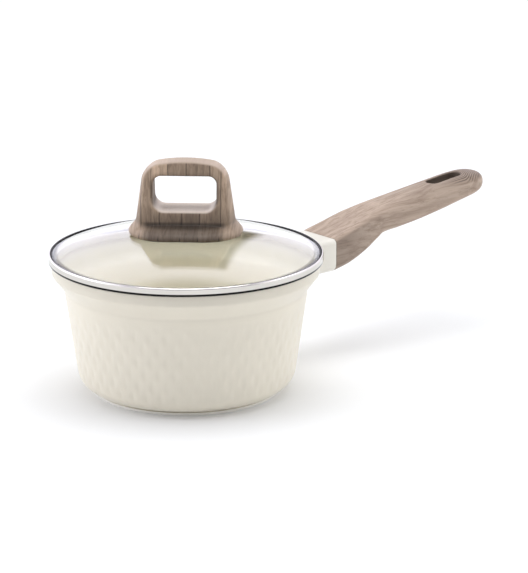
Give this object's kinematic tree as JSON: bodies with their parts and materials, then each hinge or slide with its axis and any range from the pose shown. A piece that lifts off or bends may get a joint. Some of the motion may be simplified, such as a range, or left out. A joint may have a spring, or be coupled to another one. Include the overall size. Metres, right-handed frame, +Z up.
{
  "type": "saucepan with glass lid",
  "caption": "Cast saucepan with a diamond-patterned wall, long wood-look handle with a hanging slot, and a lift-off domed glass lid with a steel band and loop knob.",
  "frame": {"origin": "centre of the base's underside, on the surface that the pan stands on", "axes": "+X along the handle, from the pan's axis to the grip's tip; +Z up, along the lid's lift"},
  "size_m": [0.34, 0.172, 0.1465],
  "materials": {
    "pan_coating": "satin cream ceramic coating",
    "collar_paint": "satin cream",
    "handle_wood_look": "soft satin with printed wood grain",
    "knob_wood_look": "soft satin with printed wood grain",
    "tempered_glass": "clear, polished",
    "polished_steel": "polished",
    "induction_steel": "circular brushed",
    "zinc_steel": "bright zinc plated",
    "brass_insert": "machined",
    "silicone": "matte translucent"
  },
  "bodies": {
    "pan": {"pan_body": "pan_coating", "induction_plate": "induction_steel", "lug_thread_insert": "zinc_steel", "handle_collar": "collar_paint", "handle_grip": "handle_wood_look", "handle_bolt": "zinc_steel", "bolt_spring_washer": "zinc_steel", "bolt_washer": "zinc_steel"},
    "lid": {"lid_glass": "tempered_glass", "lid_band": "polished_steel", "band_sealant": "silicone", "steam_vent_eyelet": "polished_steel", "vent_washer": "polished_steel", "knob_grip": "knob_wood_look", "knob_insert": "brass_insert", "knob_gasket": "silicone", "inner_gasket": "silicone", "dished_washer": "polished_steel", "knob_spring_washer": "zinc_steel", "knob_screw": "zinc_steel"}
  },
  "joints": [
    {"name": "lid_lift", "type": "slide", "parent": "pan", "child": "lid", "axis": [0, 0, 1], "range_m": [0, 0.12]}
  ]
}
